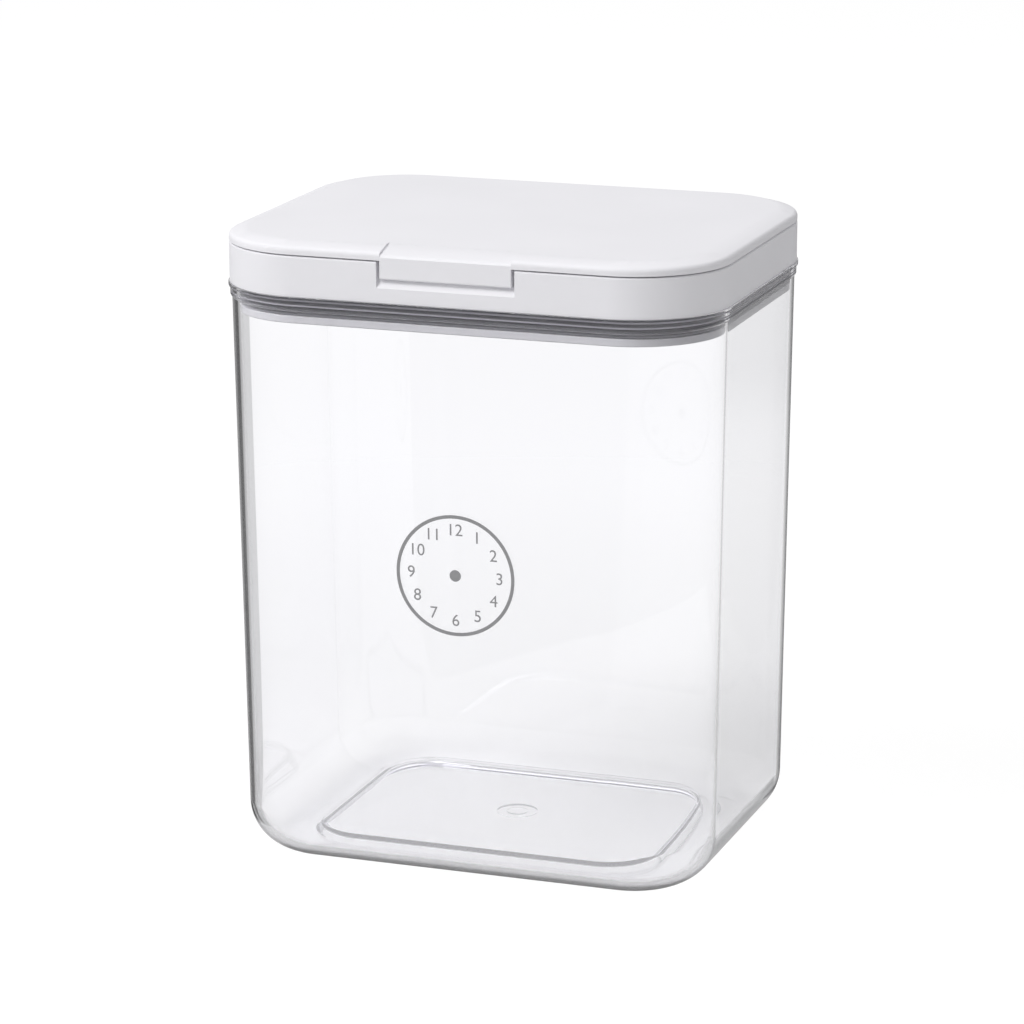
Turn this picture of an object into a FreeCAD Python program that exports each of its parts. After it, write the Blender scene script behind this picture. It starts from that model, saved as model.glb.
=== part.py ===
import FreeCAD, Part
import math
import os

# A clear storage canister: a drafted bucket, and a plug lid with a hinged flap over its mouth.
# Origin at the middle of the standing face, +Z up, front towards -Y, +X to the right.
# Millimetres and degrees. Every plan outline is the lid's rounded rectangle moved in by an inset.

# Plan of the lid
LID_WIDTH = 193.0
LID_DEPTH = 153.0
LID_CORNER_RADIUS = 36.0
LEAST_CORNER_RADIUS = 2.0

# Bucket
BUCKET_HEIGHT = 221.0
BUCKET_WALL = 2.5
BUCKET_DRAFT = 0.85
WALL_INSET = 0.75
BASE_THICKNESS = 3.0
BASE_FILLET = 18.5
FOOT_OVERLAP = 0.5
RIM_BAND_HEIGHT = 5.5
RIM_BAND_INSET = 0.15
RIM_BAND_BEVEL = 0.6
RIM_LIP_HEIGHT = 1.6
RIM_LIP_PROUD = 0.5

# Kicked-up panel of the base, and the hollow under it
BASE_KICK_UP = 4.0
PANEL_SIDE_INSET = 28.8
PANEL_END_INSET = 25.0
PANEL_CORNER_RADIUS = 20.0
PANEL_SLOPE_RUN = 2.1
HOLLOW_MARGIN = 1.8

# Moulding gate under the base
GATE_RADIUS = 8.0
GATE_DEPTH = 0.7
GATE_NUB_RADIUS = 4.0
GATE_NUB_HEIGHT = 0.4

# Frame of the lid
FRAME_HEIGHT = 15.05
FRAME_WALL = 2.2
FRAME_EDGE_BEVEL = 0.5
DECK_THICKNESS = 2.0
MOUTH_MARGIN = 20.0
MOUTH_LIP_WALL = 2.0
WELD_GROOVE_DEPTH = 0.8
WELD_GROOVE_GAP = 0.1

# Plug that enters the bucket's mouth
PLUG_DEPTH = 10.55
PLUG_WALL = 2.0
PLUG_LIP_HEIGHT = 2.85
PLUG_LIP_CLEARANCE = 0.35
PLUG_LEAD_IN = 0.35
PLUG_FLANGE = 1.6
PLUG_FLANGE_GAP = 0.3

# Ribbed seal in the plug's groove
SEAL_RIBS = 3
SEAL_FIRST_RIB = 1.75
SEAL_RIB_PITCH = 1.95
SEAL_RIB_HEIGHT = 1.0
SEAL_RIB_ROOT = 1.0
SEAL_RIB_TIP = 0.6
SEAL_BAND = 1.3
SEAL_CLEARANCE = 0.3
SEAL_SEAT_GAP = 0.05
SEAL_END_GAP = 0.15

# Flap
SEAM_GAP = 0.5
FLAP_HEIGHT = 4.8
FLAP_SKIRT = 2.4
FLAP_TOP = 2.4
FLAP_EDGE_RADIUS = 1.9
FLAP_BORDER_SLOPE = 15.0
FLAP_BORDER_RUN = 6.0

# Lift tab on the flap, and the finger pocket under it
TAB_WIDTH = 50.4
TAB_THICKNESS = 2.4
TAB_HANG = 6.35
TAB_RAMP_RUN = 10.5
TAB_RAMP_DROP = 2.9
TAB_ROOT_MARGIN = 2.0
TAB_EDGE_ROUND = 0.7
TAB_NOSE_BEVEL = 0.75
POCKET_SIDE_GAP = 1.3
POCKET_BACK_GAP = 0.4
FINGER_GAP = 3.25
POCKET_SLOPE_LEAD = 0.4
DETENT_LENGTH = 30.0
DETENT_HEIGHT = 0.25
DETENT_RADIUS = 1.0
DETENT_ABOVE_TAB_EDGE = 2.0

# Seal of the flap, its channel, and the plate that closes the flap's underside
FLAP_SEAL_WIDTH = 3.4
FLAP_SEAL_HEIGHT = 2.2
FLAP_SEAL_BEAD_ROOT = 2.4
FLAP_SEAL_BEAD_TIP = 1.2
FLAP_SEAL_BEAD_HEIGHT = 0.9
FLAP_SEAL_SEAT_GAP = 0.2
CHANNEL_GAP = 0.1
CHANNEL_WALL = 1.6
LINER_THICKNESS = 1.6
LINER_HEADROOM = 1.8

# Hinges at the rear
HINGE_SPACING = 76.0
HINGE_DROP = 4.5
HINGE_CLEARANCE = 0.3
KNUCKLE_WIDTH = 12.0
KNUCKLE_WALL = 1.4
KNUCKLE_SIDE_GAP = 0.4
KNUCKLE_REAR_GAP = 0.15
KNUCKLE_SWING_ROOM = 1.75
LUG_FRONT = 2.2
EAR_THICKNESS = 4.0
PIN_RADIUS = 1.25
PIN_RUNNING_GAP = 0.08
PIN_SEAT_GAP = 0.02
PIN_END_GAP = 0.2

# Levels and places that follow
FRONT_Y = -LID_DEPTH / 2
REAR_Y = LID_DEPTH / 2
FRAME_TOP = BUCKET_HEIGHT + FRAME_HEIGHT
FLAP_BOTTOM = FRAME_TOP + SEAM_GAP
FLAP_TOP_Z = FLAP_BOTTOM + FLAP_HEIGHT
FLAP_CEILING = FLAP_TOP_Z - FLAP_TOP
PLUG_BOTTOM = BUCKET_HEIGHT - PLUG_DEPTH
PLUG_LIP_TOP = PLUG_BOTTOM + PLUG_LIP_HEIGHT
DRAFT_SLOPE = math.tan(math.radians(BUCKET_DRAFT))
BUCKET_MOUTH_INSET = WALL_INSET + BUCKET_WALL

SEAL_LOWEST_RIB = SEAL_FIRST_RIB + (SEAL_RIBS - 1) * SEAL_RIB_PITCH
SEAL_TIP_INSET = BUCKET_MOUTH_INSET + SEAL_LOWEST_RIB * DRAFT_SLOPE + SEAL_CLEARANCE
SEAL_BAND_INSET = SEAL_TIP_INSET + SEAL_RIB_HEIGHT
PLUG_INSET = SEAL_BAND_INSET + SEAL_BAND + SEAL_SEAT_GAP
PLUG_INNER_INSET = PLUG_INSET + PLUG_WALL
PLUG_LIP_INSET = BUCKET_MOUTH_INSET + PLUG_DEPTH * DRAFT_SLOPE + PLUG_LIP_CLEARANCE

TAB_BOTTOM = FRAME_TOP - TAB_HANG
POCKET_BOTTOM = TAB_BOTTOM - FINGER_GAP
POCKET_WIDTH = TAB_WIDTH + 2 * POCKET_SIDE_GAP
POCKET_DEPTH = TAB_THICKNESS + POCKET_BACK_GAP
DETENT_Z = TAB_BOTTOM + DETENT_ABOVE_TAB_EDGE

FLAP_SEAL_MIDDLE = MOUTH_MARGIN - MOUTH_LIP_WALL / 2
FLAP_SEAL_OUTER = FLAP_SEAL_MIDDLE - FLAP_SEAL_WIDTH / 2
FLAP_SEAL_INNER = FLAP_SEAL_MIDDLE + FLAP_SEAL_WIDTH / 2
FLAP_SEAL_TOP = FLAP_CEILING - LINER_HEADROOM - LINER_THICKNESS
FLAP_SEAL_SHOULDER = FLAP_SEAL_TOP - FLAP_SEAL_HEIGHT
FLAP_SEAL_BOTTOM = FLAP_SEAL_SHOULDER - FLAP_SEAL_BEAD_HEIGHT
MOUTH_LIP_TOP = FLAP_SEAL_BOTTOM - FLAP_SEAL_SEAT_GAP
CHANNEL_OUTER = FLAP_SEAL_OUTER - CHANNEL_GAP
CHANNEL_INNER = FLAP_SEAL_INNER + CHANNEL_GAP

KNUCKLE_RADIUS = PIN_RADIUS + KNUCKLE_WALL
HINGE_INSET = KNUCKLE_RADIUS + KNUCKLE_REAR_GAP
HINGE_Y = REAR_Y - HINGE_INSET
HINGE_Z = FLAP_BOTTOM - HINGE_DROP
DECK_TOP = HINGE_Z - KNUCKLE_RADIUS - KNUCKLE_SWING_ROOM
DECK_BOTTOM = DECK_TOP - DECK_THICKNESS
PLUG_TOP = DECK_BOTTOM + WELD_GROOVE_DEPTH
EAR_START = KNUCKLE_WIDTH / 2 + KNUCKLE_SIDE_GAP
EAR_END = EAR_START + EAR_THICKNESS
RELIEF_RADIUS = HINGE_DROP - HINGE_CLEARANCE

# Overshoot of cutting bodies, and the distance below which two places count as one
CUT_MARGIN = 5.0
TOUCH = 1e-4
CUBIC_MM_PER_LITRE = 1e6


def rounded_rectangle(half_x, half_y, radius, z):
    """Closed outline of four lines and four arcs at height z, from the right end of its front side."""
    x, y = half_x - radius, half_y - radius
    reach = radius * math.sqrt(0.5)
    corners = [(x, -y, 1, -1), (x, y, 1, 1), (-x, y, -1, 1), (-x, -y, -1, -1)]
    arcs = []
    for cx, cy, sx, sy in corners:
        along_y = FreeCAD.Vector(cx + sx * radius, cy, z)
        along_x = FreeCAD.Vector(cx, cy + sy * radius, z)
        start, end = (along_x, along_y) if sx * sy < 0 else (along_y, along_x)
        middle = FreeCAD.Vector(cx + sx * reach, cy + sy * reach, z)
        arcs.append((start, middle, end))
    edges = []
    for (start, middle, end), following in zip(arcs, arcs[1:] + arcs[:1]):
        edges.append(Part.Arc(start, middle, end).toShape())
        edges.append(Part.LineSegment(end, following[0]).toShape())
    return Part.Wire(edges)


def outline(inset, z):
    """The lid's outline moved inwards by inset."""
    radius = max(LID_CORNER_RADIUS - inset, LEAST_CORNER_RADIUS)
    return rounded_rectangle(LID_WIDTH / 2 - inset, LID_DEPTH / 2 - inset, radius, z)


def slab(inset, bottom, top):
    """Plate of the lid's outline moved in by inset, between two heights."""
    return Part.Face(outline(inset, bottom)).extrude(FreeCAD.Vector(0, 0, top - bottom))


def section_point(inset, z):
    """Point of a section that is swept round the lid's outline."""
    return FreeCAD.Vector(LID_WIDTH / 2 - LID_CORNER_RADIUS, FRONT_Y + inset, z)


def line(start, end):
    return Part.LineSegment(section_point(*start), section_point(*end)).toShape()


def arc(start, middle, end):
    return Part.Arc(section_point(*start), section_point(*middle), section_point(*end)).toShape()


def polygon(*points):
    """Edges through the points (inset, z)."""
    return [line(a, b) for a, b in zip(points, points[1:])]


def swept(edges):
    """Ring whose closed section is swept round the lid's outline."""
    return outline(0, 0).makePipe(Part.Face(Part.Wire(edges)))


def block(x, y, z):
    """Box between pairs of limits."""
    size = [limits[1] - limits[0] for limits in (x, y, z)]
    return Part.makeBox(*size, FreeCAD.Vector(x[0], y[0], z[0]))


def rod(radius, x, y, z):
    """Cylinder along X between two limits."""
    return Part.makeCylinder(radius, x[1] - x[0], FreeCAD.Vector(x[0], y, z), FreeCAD.Vector(1, 0, 0))


def prism(points, x):
    """Closed (y, z) polygon pulled along X between two limits."""
    corners = [FreeCAD.Vector(x[0], y, z) for y, z in points]
    face = Part.Face(Part.makePolygon(corners + corners[:1]))
    return face.extrude(FreeCAD.Vector(x[1] - x[0], 0, 0))


def rounded_edge(shape, y, z, radius):
    """The shape with its edge along X at (y, z) rounded."""
    middle = FreeCAD.Vector(0, y, z)
    return shape.makeFillet(radius, [e for e in shape.Edges if e.CenterOfMass.isEqual(middle, TOUCH)])


def wall_inset(z):
    """Inset of the bucket's outer face, which draws in towards the base."""
    return WALL_INSET + (BUCKET_HEIGHT - z) * DRAFT_SLOPE


def base_corner(face_inset, floor, radius):
    """Ends and middle of the arc that joins a drafted face, moved in by face_inset, to a level floor."""
    draft = math.radians(BUCKET_DRAFT)
    centre_z = floor + radius
    centre = wall_inset(centre_z) + face_inset + radius / math.cos(draft)
    half_way = math.pi / 4 + draft / 2
    on_wall = (centre - radius * math.cos(draft), centre_z - radius * math.sin(draft))
    middle = (centre - radius * math.cos(half_way), centre_z - radius * math.sin(half_way))
    on_floor = (centre, floor)
    return on_wall, middle, on_floor


def bucket_wall():
    """Wall, rim and base fillet, swept round the outline as one section."""
    outside = base_corner(0, 0, BASE_FILLET)
    inside = base_corner(BUCKET_WALL, BASE_THICKNESS, BASE_FILLET - BUCKET_WALL)
    base_end = max(outside[2][0], inside[2][0]) + FOOT_OVERLAP
    band_bottom = BUCKET_HEIGHT - RIM_BAND_HEIGHT
    lip_bottom = BUCKET_HEIGHT - RIM_LIP_HEIGHT
    down_outside = polygon(
        (BUCKET_MOUTH_INSET, BUCKET_HEIGHT),
        (-RIM_LIP_PROUD, BUCKET_HEIGHT),
        (-RIM_LIP_PROUD, lip_bottom),
        (RIM_BAND_INSET, lip_bottom),
        (RIM_BAND_INSET, band_bottom + RIM_BAND_BEVEL),
        (wall_inset(band_bottom), band_bottom),
        outside[0],
    )
    across_base = polygon(outside[2], (base_end, 0), (base_end, BASE_THICKNESS), inside[2])
    up_inside = [line(inside[0], (BUCKET_MOUTH_INSET, BUCKET_HEIGHT))]
    return swept(down_outside + [arc(*outside)] + across_base + [arc(*reversed(inside))] + up_inside)


def raised_panel(margin, foot_z):
    """Tapered plateau as high as the kick-up, whose top edge lies in from the panel's edge by margin."""
    half_x = LID_WIDTH / 2 - PANEL_SIDE_INSET - margin
    half_y = LID_DEPTH / 2 - PANEL_END_INSET - margin
    radius = PANEL_CORNER_RADIUS - margin
    run = PANEL_SLOPE_RUN
    top = rounded_rectangle(half_x, half_y, radius, foot_z + BASE_KICK_UP)
    foot = rounded_rectangle(half_x + run, half_y + run, radius + run, foot_z)
    return Part.makeLoft([foot, top], True, True)


def bucket():
    base_inset = base_corner(0, 0, BASE_FILLET)[2][0]
    base = slab(base_inset, 0, BASE_THICKNESS)
    panel = raised_panel(0, BASE_THICKNESS)
    hollow = raised_panel(HOLLOW_MARGIN, 0)
    gate = Part.makeCylinder(GATE_RADIUS, GATE_DEPTH, FreeCAD.Vector(0, 0, BASE_KICK_UP))
    nub = Part.makeCylinder(GATE_NUB_RADIUS, GATE_NUB_HEIGHT,
                            FreeCAD.Vector(0, 0, BASE_KICK_UP + GATE_DEPTH - GATE_NUB_HEIGHT))
    return bucket_wall().fuse([base, panel]).cut([hollow, gate.cut(nub)]).removeSplitter()


def frame_ring():
    """Frame as one swept section: outer wall, deck, mouth lip and the groove that the plug is welded in."""
    mouth_lip = MOUTH_MARGIN - MOUTH_LIP_WALL
    groove_outer = PLUG_INSET - WELD_GROOVE_GAP
    groove_inner = PLUG_INNER_INSET + WELD_GROOVE_GAP
    return swept(polygon(
        (0, BUCKET_HEIGHT),
        (0, FRAME_TOP - FRAME_EDGE_BEVEL),
        (FRAME_EDGE_BEVEL, FRAME_TOP),
        (FRAME_WALL, FRAME_TOP),
        (FRAME_WALL, DECK_TOP),
        (mouth_lip, DECK_TOP),
        (mouth_lip, MOUTH_LIP_TOP),
        (MOUTH_MARGIN, MOUTH_LIP_TOP),
        (MOUTH_MARGIN, DECK_BOTTOM),
        (groove_inner, DECK_BOTTOM),
        (groove_inner, PLUG_TOP),
        (groove_outer, PLUG_TOP),
        (groove_outer, DECK_BOTTOM),
        (FRAME_WALL, DECK_BOTTOM),
        (FRAME_WALL, BUCKET_HEIGHT),
        (0, BUCKET_HEIGHT),
    ))


def finger_pocket():
    """Room for the lift tab and a fingertip, with a floor that slopes up under the tab."""
    back = FRONT_Y + POCKET_DEPTH
    half = POCKET_WIDTH / 2
    return prism([
        (FRONT_Y - CUT_MARGIN, POCKET_BOTTOM),
        (FRONT_Y, POCKET_BOTTOM),
        (back, TAB_BOTTOM + POCKET_SLOPE_LEAD),
        (back, FRAME_TOP + CUT_MARGIN),
        (FRONT_Y - CUT_MARGIN, FRAME_TOP + CUT_MARGIN),
    ], (-half, half))


def pocket_backing():
    """Thicker stretch of the front wall that the pocket is let into."""
    half = POCKET_WIDTH / 2 + FRAME_WALL
    return block((-half, half), (FRONT_Y + FRAME_WALL / 2, FRONT_Y + POCKET_DEPTH + FRAME_WALL),
                 (POCKET_BOTTOM - FRAME_WALL, FRAME_TOP))


def detent(radius, length, face_y, height):
    """Low rounded bead along X that stands height proud of a face, towards +Y."""
    return rod(radius, (-length / 2, length / 2), face_y + height - radius, DETENT_Z)


def hinge_centres():
    return [-HINGE_SPACING / 2, HINGE_SPACING / 2]


def hinge_ears(centre):
    """Two ears beside a knuckle, rounded about the hinge axis and standing on the deck."""
    shapes = []
    for start, end in ((-EAR_END, -EAR_START), (EAR_START, EAR_END)):
        x = (centre + start, centre + end)
        shapes.append(rod(HINGE_INSET, x, HINGE_Y, HINGE_Z))
        shapes.append(block(x, (HINGE_Y - HINGE_INSET, REAR_Y), (DECK_BOTTOM, HINGE_Z)))
    return shapes


def hinge_notch(centre):
    """Gap in the rear wall that the flap's lug swings through."""
    return block((centre - EAR_START, centre + EAR_START), (HINGE_Y - HINGE_INSET, REAR_Y + CUT_MARGIN),
                 (DECK_TOP, FRAME_TOP + CUT_MARGIN))


def pin_hole(centre, gap):
    return rod(PIN_RADIUS + gap, (centre - EAR_END, centre + EAR_END), HINGE_Y, HINGE_Z)


def rear_relief():
    """What the frame's rear edge loses so that the flap's rear edge can turn past it."""
    x = (-LID_WIDTH / 2, LID_WIDTH / 2)
    behind = block(x, (HINGE_Y, REAR_Y + CUT_MARGIN), (HINGE_Z, FRAME_TOP + CUT_MARGIN))
    return behind.cut(rod(RELIEF_RADIUS, x, HINGE_Y, HINGE_Z))


def lid_frame():
    frame = frame_ring().fuse([pocket_backing()])
    frame = frame.cut([finger_pocket(), rear_relief()] + [hinge_notch(c) for c in hinge_centres()])
    frame = frame.fuse([ear for c in hinge_centres() for ear in hinge_ears(c)])
    groove_length = DETENT_LENGTH + 2 * POCKET_BACK_GAP
    groove = detent(DETENT_RADIUS, groove_length, FRONT_Y + POCKET_DEPTH, DETENT_HEIGHT)
    return frame.cut([groove] + [pin_hole(c, PIN_SEAT_GAP) for c in hinge_centres()]).removeSplitter()


def plug_ring():
    """Skirt that enters the mouth, with a flange on the rim and a lip that keeps the seal on."""
    flange = FRAME_WALL + PLUG_FLANGE_GAP
    return swept(polygon(
        (flange, BUCKET_HEIGHT),
        (flange, BUCKET_HEIGHT + PLUG_FLANGE),
        (PLUG_INSET, BUCKET_HEIGHT + PLUG_FLANGE),
        (PLUG_INSET, PLUG_TOP),
        (PLUG_INNER_INSET, PLUG_TOP),
        (PLUG_INNER_INSET, PLUG_BOTTOM),
        (PLUG_LIP_INSET + PLUG_LEAD_IN, PLUG_BOTTOM),
        (PLUG_LIP_INSET, PLUG_BOTTOM + PLUG_LEAD_IN),
        (PLUG_LIP_INSET, PLUG_LIP_TOP),
        (PLUG_INSET, PLUG_LIP_TOP),
        (PLUG_INSET, BUCKET_HEIGHT),
        (flange, BUCKET_HEIGHT),
    ))


def plug_seal():
    """Band in the plug's groove with a row of tapered ribs towards the bucket."""
    inner = PLUG_INSET - SEAL_SEAT_GAP
    top = BUCKET_HEIGHT - SEAL_END_GAP
    bottom = PLUG_LIP_TOP + SEAL_END_GAP
    points = [(inner, bottom), (inner, top), (SEAL_BAND_INSET, top)]
    for rib in range(SEAL_RIBS):
        z = BUCKET_HEIGHT - SEAL_FIRST_RIB - rib * SEAL_RIB_PITCH
        points.append((SEAL_BAND_INSET, z + SEAL_RIB_ROOT / 2))
        points.append((SEAL_TIP_INSET, z + SEAL_RIB_TIP / 2))
        points.append((SEAL_TIP_INSET, z - SEAL_RIB_TIP / 2))
        points.append((SEAL_BAND_INSET, z - SEAL_RIB_ROOT / 2))
    return swept(polygon(*points, (SEAL_BAND_INSET, bottom), (inner, bottom)))


def flap_envelope():
    """Outside form of the flap: an upright edge, rounded into a sloped border round the flat top."""
    slope = math.radians(FLAP_BORDER_SLOPE)
    half_way = math.pi / 4 - slope / 2
    border_foot = FLAP_EDGE_RADIUS * (1 - math.sin(slope))
    border_end = border_foot + FLAP_BORDER_RUN
    border_z = FLAP_TOP_Z - FLAP_BORDER_RUN * math.tan(slope)
    edge_z = border_z - FLAP_EDGE_RADIUS * math.cos(slope)
    middle = (FLAP_EDGE_RADIUS * (1 - math.cos(half_way)), edge_z + FLAP_EDGE_RADIUS * math.sin(half_way))
    edge_arc = arc((0, edge_z), middle, (border_foot, border_z))
    border = polygon((border_foot, border_z), (border_end, FLAP_TOP_Z), (border_end, FLAP_BOTTOM),
                     (0, FLAP_BOTTOM), (0, edge_z))
    return swept([edge_arc] + border).fuse(slab(border_end, FLAP_BOTTOM, FLAP_TOP_Z)).removeSplitter()


def tab_root():
    """Solid stretch of the flap's front edge behind the lift tab."""
    half = TAB_WIDTH / 2 + TAB_ROOT_MARGIN
    back = FRONT_Y + TAB_RAMP_RUN + TAB_ROOT_MARGIN
    return block((-half, half), (FRONT_Y, back), (FLAP_BOTTOM, FLAP_TOP_Z))


def tab_ramp():
    """What the flap's front loses so that its top runs down to the lift tab, with a bevelled nose."""
    half = TAB_WIDTH / 2
    slope = TAB_RAMP_DROP / TAB_RAMP_RUN
    low = FLAP_TOP_Z - TAB_RAMP_DROP
    return prism([
        (FRONT_Y - CUT_MARGIN, low - TAB_NOSE_BEVEL),
        (FRONT_Y, low - TAB_NOSE_BEVEL),
        (FRONT_Y + TAB_NOSE_BEVEL, low + TAB_NOSE_BEVEL * slope),
        (FRONT_Y + TAB_RAMP_RUN, FLAP_TOP_Z),
        (FRONT_Y + TAB_RAMP_RUN, FLAP_TOP_Z + CUT_MARGIN),
        (FRONT_Y - CUT_MARGIN, FLAP_TOP_Z + CUT_MARGIN),
    ], (-half, half))


def lift_tab():
    """Plate that hangs from the flap's front edge into the pocket, with a bead on its back."""
    half = TAB_WIDTH / 2
    back = FRONT_Y + TAB_THICKNESS
    plate = block((-half, half), (FRONT_Y, back), (TAB_BOTTOM, FLAP_BOTTOM))
    plate = rounded_edge(plate, FRONT_Y, TAB_BOTTOM, TAB_EDGE_ROUND)
    return plate.fuse(detent(DETENT_RADIUS, DETENT_LENGTH, back, DETENT_HEIGHT))


def flap_lug(centre, bottom, top):
    """Stretch of the arm that joins the flap's rear edge to the hinge axis."""
    x = (centre - KNUCKLE_WIDTH / 2, centre + KNUCKLE_WIDTH / 2)
    return block(x, (HINGE_Y - LUG_FRONT, HINGE_Y + KNUCKLE_RADIUS), (bottom, top))


def knuckle(centre):
    return rod(KNUCKLE_RADIUS, (centre - KNUCKLE_WIDTH / 2, centre + KNUCKLE_WIDTH / 2), HINGE_Y, HINGE_Z)


def flap_cover():
    lug_roots = [flap_lug(c, FLAP_BOTTOM, FLAP_CEILING) for c in hinge_centres()]
    lugs = [flap_lug(c, HINGE_Z, FLAP_BOTTOM) for c in hinge_centres()]
    hollow = slab(FLAP_SKIRT, FLAP_BOTTOM, FLAP_CEILING).cut([tab_root()] + lug_roots)
    channel_wall = slab(CHANNEL_OUTER - CHANNEL_WALL, FLAP_SEAL_SHOULDER, FLAP_CEILING)
    channel_wall = channel_wall.cut(slab(CHANNEL_OUTER, FLAP_SEAL_SHOULDER, FLAP_CEILING))
    cover = flap_envelope().cut([hollow, tab_ramp()])
    cover = cover.fuse([lift_tab(), channel_wall] + lugs + [knuckle(c) for c in hinge_centres()])
    return cover.cut([pin_hole(c, PIN_RUNNING_GAP) for c in hinge_centres()]).removeSplitter()


def flap_liner():
    """Tray under the flap: its floor closes the underside and its flange backs the seal."""
    floor = slab(CHANNEL_INNER, FLAP_SEAL_SHOULDER, FLAP_SEAL_SHOULDER + LINER_THICKNESS)
    rim = slab(CHANNEL_INNER, FLAP_SEAL_SHOULDER, FLAP_CEILING)
    flange = slab(CHANNEL_OUTER + CHANNEL_GAP, FLAP_SEAL_TOP, FLAP_SEAL_TOP + LINER_THICKNESS)
    room = slab(CHANNEL_INNER + LINER_THICKNESS, FLAP_SEAL_SHOULDER, FLAP_CEILING)
    return rim.fuse(flange).cut(room).fuse(floor).removeSplitter()


def flap_seal():
    """Ring that fills the channel, with a tapered bead that meets the lip of the mouth."""
    root = FLAP_SEAL_BEAD_ROOT / 2
    tip = FLAP_SEAL_BEAD_TIP / 2
    return swept(polygon(
        (FLAP_SEAL_OUTER, FLAP_SEAL_SHOULDER),
        (FLAP_SEAL_OUTER, FLAP_SEAL_TOP),
        (FLAP_SEAL_INNER, FLAP_SEAL_TOP),
        (FLAP_SEAL_INNER, FLAP_SEAL_SHOULDER),
        (FLAP_SEAL_MIDDLE + root, FLAP_SEAL_SHOULDER),
        (FLAP_SEAL_MIDDLE + tip, FLAP_SEAL_BOTTOM),
        (FLAP_SEAL_MIDDLE - tip, FLAP_SEAL_BOTTOM),
        (FLAP_SEAL_MIDDLE - root, FLAP_SEAL_SHOULDER),
        (FLAP_SEAL_OUTER, FLAP_SEAL_SHOULDER),
    ))


def hinge_pin(centre):
    half = EAR_END - PIN_END_GAP
    return rod(PIN_RADIUS, (centre - half, centre + half), HINGE_Y, HINGE_Z)


def capacity():
    """Litres that the bucket holds when it is full to the rim."""
    outside = slab(-RIM_LIP_PROUD, 0, BUCKET_HEIGHT)
    spaces = outside.cut(bucket()).Solids
    middle = FreeCAD.Vector(0, 0, BUCKET_HEIGHT / 2)
    inside = [s for s in spaces if s.isInside(middle, TOUCH, False)]
    return sum(s.Volume for s in inside) / CUBIC_MM_PER_LITRE


def main():
    left, right = hinge_centres()
    parts = {
        "bucket": bucket(),
        "lid_frame": lid_frame(),
        "plug_ring": plug_ring(),
        "plug_seal": plug_seal(),
        "flap_cover": flap_cover(),
        "flap_liner": flap_liner(),
        "flap_seal": flap_seal(),
        "hinge_pin_left": hinge_pin(left),
        "hinge_pin_right": hinge_pin(right),
    }
    os.makedirs("parts", exist_ok=True)
    for name, shape in parts.items():
        shape.exportStep(os.path.join("parts", name + ".step"))
        print(name, len(shape.Solids), shape.isValid(), round(shape.Volume), "mm3")
    print("capacity to the rim", round(capacity(), 2), "litres")


main()
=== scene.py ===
import math

import bmesh
import bpy
from mathutils import Matrix, Vector


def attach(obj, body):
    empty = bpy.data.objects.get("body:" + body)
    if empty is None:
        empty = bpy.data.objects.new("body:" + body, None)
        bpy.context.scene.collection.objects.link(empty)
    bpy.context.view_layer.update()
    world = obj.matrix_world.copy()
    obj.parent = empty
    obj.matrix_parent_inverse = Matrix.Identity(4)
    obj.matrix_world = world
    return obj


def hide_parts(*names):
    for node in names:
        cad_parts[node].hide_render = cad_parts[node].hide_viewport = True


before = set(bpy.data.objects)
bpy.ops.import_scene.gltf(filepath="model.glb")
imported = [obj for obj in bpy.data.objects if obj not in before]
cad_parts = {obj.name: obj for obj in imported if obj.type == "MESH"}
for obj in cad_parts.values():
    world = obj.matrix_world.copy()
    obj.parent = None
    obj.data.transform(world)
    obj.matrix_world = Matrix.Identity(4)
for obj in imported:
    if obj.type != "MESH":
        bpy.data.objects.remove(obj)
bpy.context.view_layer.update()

# Sizes are in millimetres, as in the part's source; finished meshes are scaled to metres.
MM = 0.001

# Plan of the lid, and the bucket under it
LID_WIDTH, LID_DEPTH, LID_CORNER = 193.0, 153.0, 36.0
LID_CENTRE = (LID_WIDTH / 2 - LID_CORNER, LID_DEPTH / 2 - LID_CORNER)
BUCKET_HEIGHT, BUCKET_WALL, WALL_INSET = 221.0, 2.5, 0.75
DRAFT = math.radians(0.85)
BASE_THICKNESS, BASE_FILLET, BASE_KICK_UP, FOOT_OVERLAP = 3.0, 18.5, 4.0, 0.02
PANEL_SIDE_INSET, PANEL_END_INSET, PANEL_CORNER, PANEL_SLOPE_RUN = 28.8, 25.0, 20.0, 2.1
PANEL_EDGE, PANEL_ROUND, HOLLOW_MARGIN = 0.42, 0.6, 1.8
RIM_BAND_HEIGHT, RIM_BAND_INSET, RIM_BAND_BEVEL = 5.5, 0.15, 0.6
RIM_LIP_HEIGHT, RIM_LIP_PROUD, RIM_ROUND = 1.6, 0.5, 0.3
GATE_RADIUS, GATE_DEPTH, GATE_NUB_RADIUS, GATE_NUB_HEIGHT = 8.0, 0.7, 4.0, 0.4

# Plug and seals of the lid
FLANGE_INSET, FLANGE_HEIGHT = 2.5, 1.6
PLUG_INSET, PLUG_WALL, PLUG_TOP, PLUG_DEPTH = 5.984, 2.0, 226.45, 10.55
PLUG_LIP_INSET, PLUG_LIP_HEIGHT, PLUG_LEAD_IN, PLUG_ROUND = 3.757, 2.85, 0.35, 0.2
PLUG_BOTTOM = BUCKET_HEIGHT - PLUG_DEPTH
SEAL_RIBS, SEAL_FIRST_RIB, SEAL_RIB_PITCH = 3, 1.75, 1.95
SEAL_RIB_ROOT, SEAL_RIB_TIP, SEAL_ROUND = 0.9, 0.6, 0.15
SEAL_BAND_INSET, SEAL_SEAT_GAP, SEAL_END_GAP, SEAL_SQUEEZE = 5.2, 0.05, 0.15, 0.05
FLAP_SEAL_MIDDLE, FLAP_SEAL_WIDTH, FLAP_SEAL_ROUND = 19.0, 3.4, 0.3
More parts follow.
